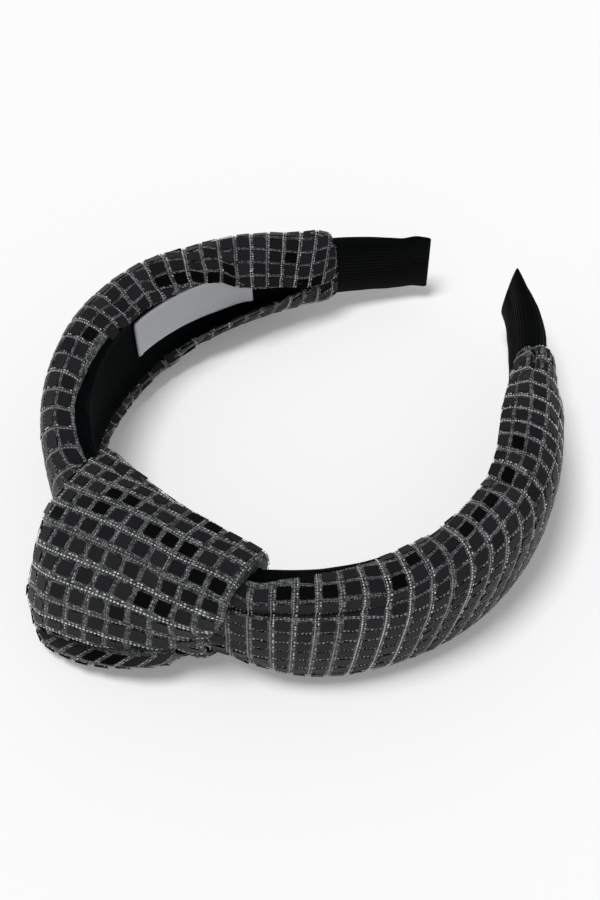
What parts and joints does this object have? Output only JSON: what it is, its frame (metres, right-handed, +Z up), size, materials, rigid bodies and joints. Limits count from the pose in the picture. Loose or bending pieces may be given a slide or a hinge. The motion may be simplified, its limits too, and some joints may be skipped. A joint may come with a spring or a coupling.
{
  "type": "padded headband with a knot",
  "caption": "Padded fabric headband for the head, an open hoop with a wide knot at its crown, a dark lining, a bare label and ribbon-wrapped tips.",
  "frame": {"origin": "middle of the bounding box on the plane that the headband lies on", "axes": "+Z up from the plane, -Y towards the knot and +Y towards the tips, +X towards the right arm"},
  "size_m": [0.1588, 0.1838, 0.0511],
  "materials": {
    "cloth": "dark cloth with glossy woven squares and silver thread",
    "lining": "smooth dark lining",
    "label": "fine grey weave, bare",
    "ribbon": "black ribbed ribbon"
  },
  "bodies": {
    "root": {"left_arm": "cloth", "right_arm": "cloth", "knot_wrap": "cloth", "knot_tuck": "cloth", "lining": "lining", "label": "label", "left_tip": "ribbon", "right_tip": "ribbon"}
  },
  "joints": []
}
